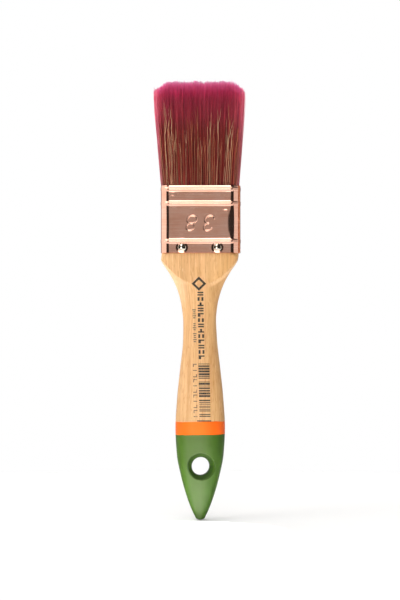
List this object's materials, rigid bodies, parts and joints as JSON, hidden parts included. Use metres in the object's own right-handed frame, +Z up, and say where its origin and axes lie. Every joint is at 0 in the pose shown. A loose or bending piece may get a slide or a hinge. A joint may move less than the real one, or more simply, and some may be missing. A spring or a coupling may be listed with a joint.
{
  "type": "flat paint brush",
  "caption": "Flat paint brush with a wooden beaver-tail handle, a hanging hole, a beaded copper-plated ferrule and a fanned, flexible filament pack.",
  "frame": {"origin": "under the middle of the brush, at the height of the handle's tail", "axes": "+Z up the brush from the handle's tail to the bristle tips, +X across the width, -Y out of the front broad face"},
  "size_m": [0.044, 0.0164, 0.2107],
  "materials": {
    "handle_wood": "clear-varnished beech, with an orange painted band and a green dipped tail",
    "ferrule_copper": "bright copper-plated steel sheet, finely brushed along the width",
    "nail_steel": "bright nickel-plated",
    "resin": "amber cast resin",
    "plug_wood": "raw sawn",
    "filament": "fine tapered filaments, burgundy with magenta tips, mixed with beige natural bristle"
  },
  "bodies": {
    "brush": {"handle": "handle_wood", "ferrule": "ferrule_copper", "nail_front_left": "nail_steel", "nail_front_right": "nail_steel", "nail_back_left": "nail_steel", "nail_back_right": "nail_steel", "epoxy_setting": "resin", "spacer_plug": "plug_wood", "bristle_root_front": "filament", "bristle_root_back": "filament"},
    "bristles": {"bristle_front": "filament", "bristle_back": "filament"}
  },
  "joints": [
    {"name": "bristle_flex", "type": "hinge", "parent": "brush", "child": "bristles", "pos_m": [0, 0, 0.1612], "axis": [1, 0, 0], "range_deg": [-30, 30], "stiffness_Nm_per_rad": 0.2}
  ]
}
